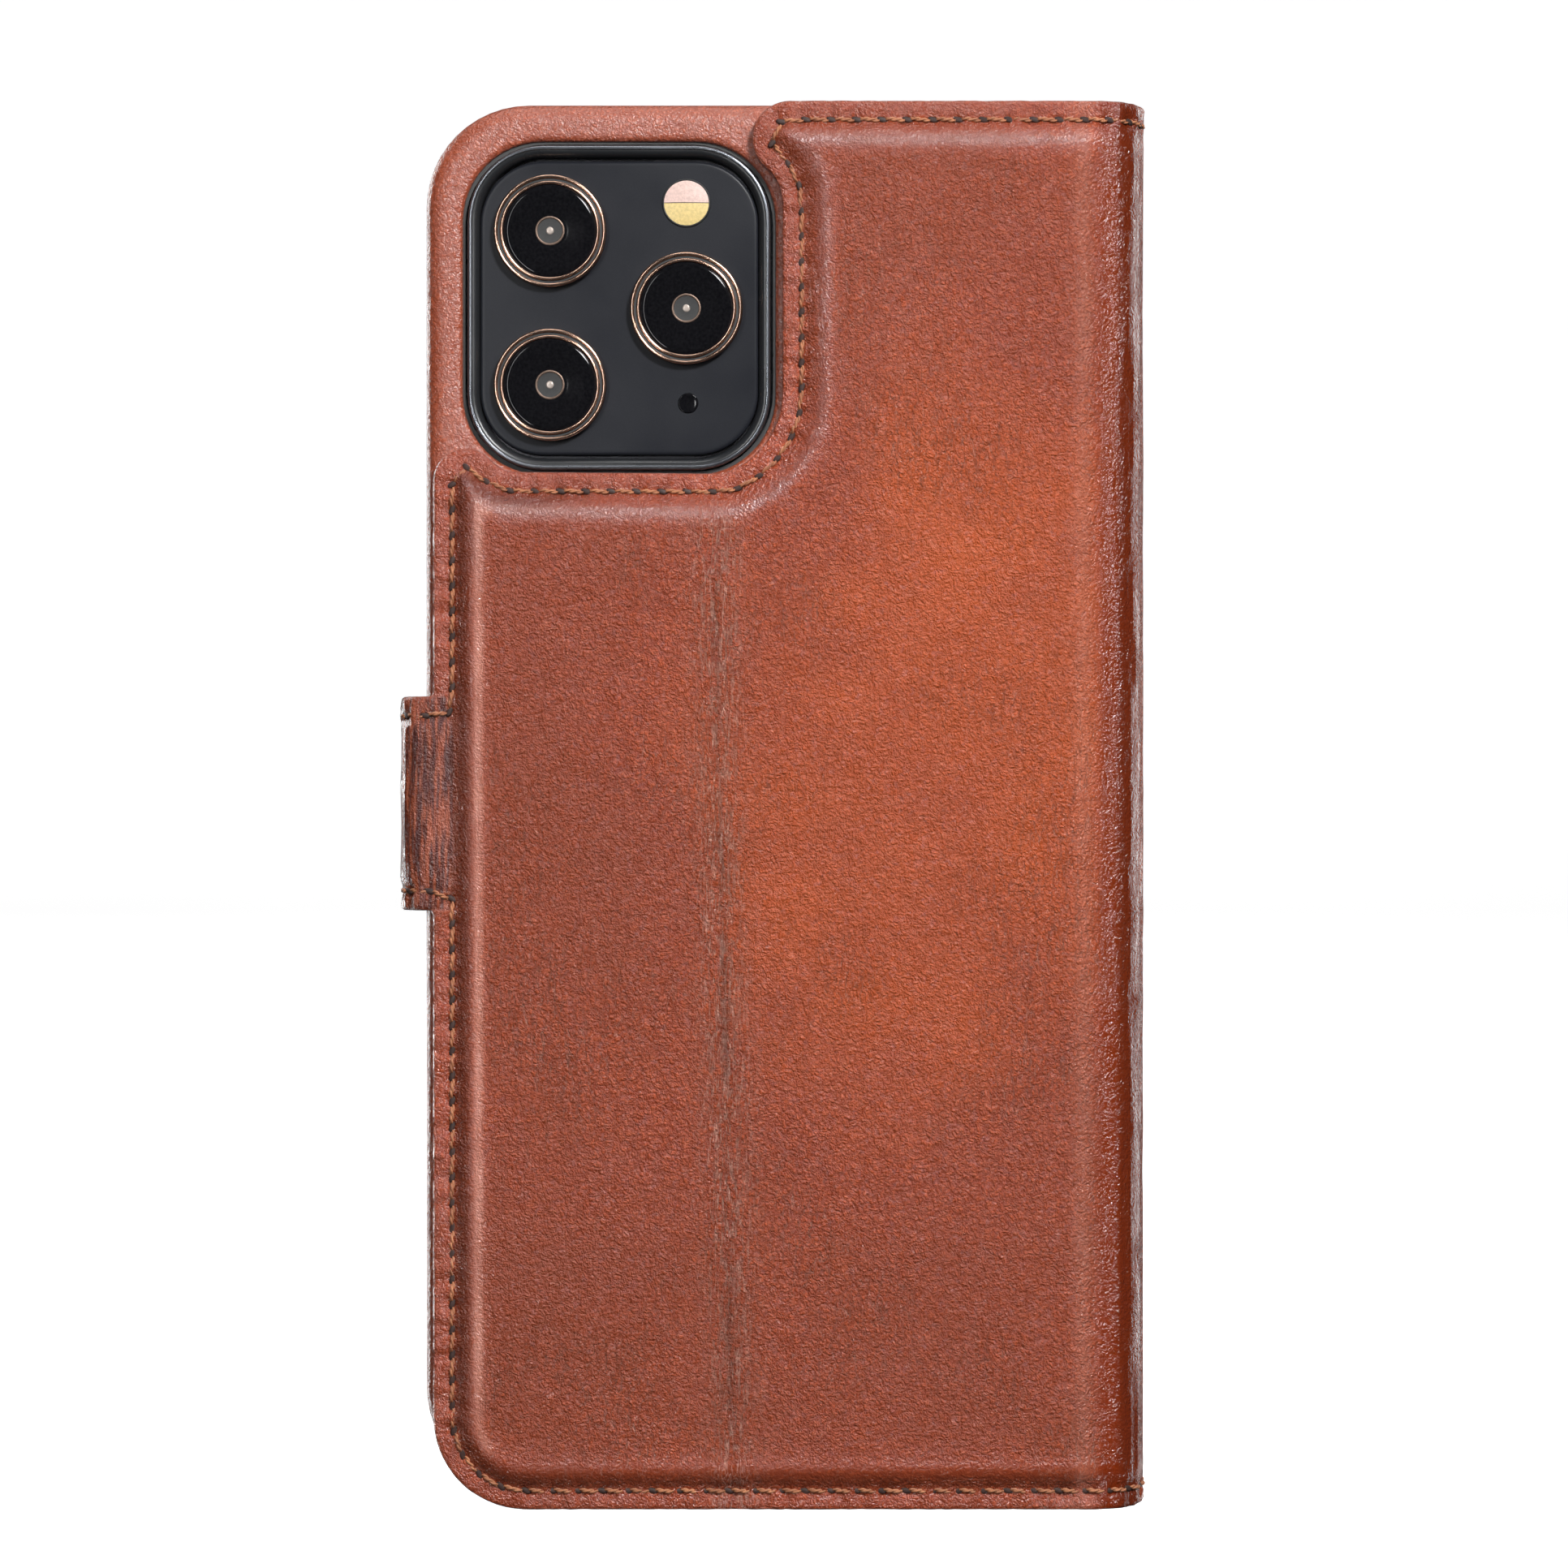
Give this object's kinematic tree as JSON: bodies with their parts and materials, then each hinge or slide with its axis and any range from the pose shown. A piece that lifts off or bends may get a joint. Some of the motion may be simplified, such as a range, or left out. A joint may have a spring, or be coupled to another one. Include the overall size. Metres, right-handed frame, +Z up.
{
  "type": "phone wallet case",
  "caption": "Tan leather folio phone wallet case with camera window, stand fold, closure strap, opening cover with card pockets, holding a display phone",
  "frame": {"origin": "on the bottom edge of the back panel, middle of the width", "axes": "+Z up along the height of the case, the back with the camera window faces -Y, the spine is at +X and the closure strap at -X"},
  "size_m": [0.0891, 0.0449, 0.167],
  "materials": {
    "leather": "satin, pebbled full grain, tan",
    "pocket_leather": "satin, smooth tan",
    "lining": "matte brown suede cloth",
    "thread": "twisted waxed sewing thread",
    "foam": "matte padding foam",
    "board": "pressed fibre board",
    "shell_plastic": "matte black holder shell",
    "bezel": "dark grey, bright outer rim",
    "phone_back": "frosted dark glass and metal band",
    "camera_plate": "satin dark grey",
    "screen_glass": "gloss black",
    "lens_ring": "polished bronze tone",
    "lens_glass": "gloss black",
    "flash": "two-tone diffuser",
    "magnet": "nickel plated",
    "foil": "matte foil",
    "clear_film": "clear film"
  },
  "bodies": {
    "holder": {"shell_core": "shell_plastic", "shell_leather": "leather", "camera_bezel": "bezel", "back_leather": "leather", "back_foam": "foam", "back_board": "board", "back_lining": "lining", "back_thread": "thread", "phone_body": "phone_back", "phone_screen": "screen_glass", "camera_plate": "camera_plate", "lens_ring_top": "lens_ring", "lens_ring_side": "lens_ring", "lens_ring_low": "lens_ring", "lens_glass_top": "lens_glass", "lens_glass_side": "lens_glass", "lens_glass_low": "lens_glass", "flash_lens": "flash", "camera_sensor": "lens_glass"},
    "stand_flap": {"flap_leather": "leather", "flap_foam": "foam", "flap_board": "board", "flap_lining": "lining", "flap_thread": "thread"},
    "strap_side": {"strap_leather": "leather", "strap_backing": "lining", "strap_thread": "thread"},
    "strap_tab": {"tab_leather": "leather", "tab_backing": "lining", "tab_magnet": "magnet", "tab_thread": "thread"},
    "spine": {"spine_leather": "leather", "spine_lining": "lining", "spine_thread": "thread"},
    "front_cover": {"front_leather": "leather", "front_foam": "foam", "front_board": "board", "front_shield": "foil", "front_lining": "lining", "front_magnet": "magnet", "front_thread": "thread", "cash_pocket": "pocket_leather", "card_pocket_top": "pocket_leather", "card_pocket_mid": "pocket_leather", "card_pocket_low": "pocket_leather", "id_window": "clear_film", "pocket_thread": "thread"}
  },
  "joints": [
    {"name": "stand_fold", "type": "hinge", "parent": "holder", "child": "stand_flap", "pos_m": [-0.0075, -0.0006, 0.0835], "axis": [0, 0, 1], "range_deg": [0, 65]},
    {"name": "strap_bend", "type": "hinge", "parent": "stand_flap", "child": "strap_side", "pos_m": [-0.0447, 0.0004, 0.0837], "axis": [0, 0, 1], "range_deg": [0, 90]},
    {"name": "tab_bend", "type": "hinge", "parent": "strap_side", "child": "strap_tab", "pos_m": [-0.0439, 0.0192, 0.0837], "axis": [0, 0, -1], "range_deg": [0, 84]},
    {"name": "spine_fold", "type": "hinge", "parent": "holder", "child": "spine", "pos_m": [0.04095, 0.00125, 0.0835], "axis": [0, 0, -1], "range_deg": [0, 90]},
    {"name": "cover_fold", "type": "hinge", "parent": "spine", "child": "front_cover", "pos_m": [0.04095, 0.01596, 0.0835], "axis": [0, 0, -1], "range_deg": [0, 90]}
  ],
  "couplings": [
    {"joint": "cover_fold", "follows": "spine_fold", "ratio": 1}
  ]
}
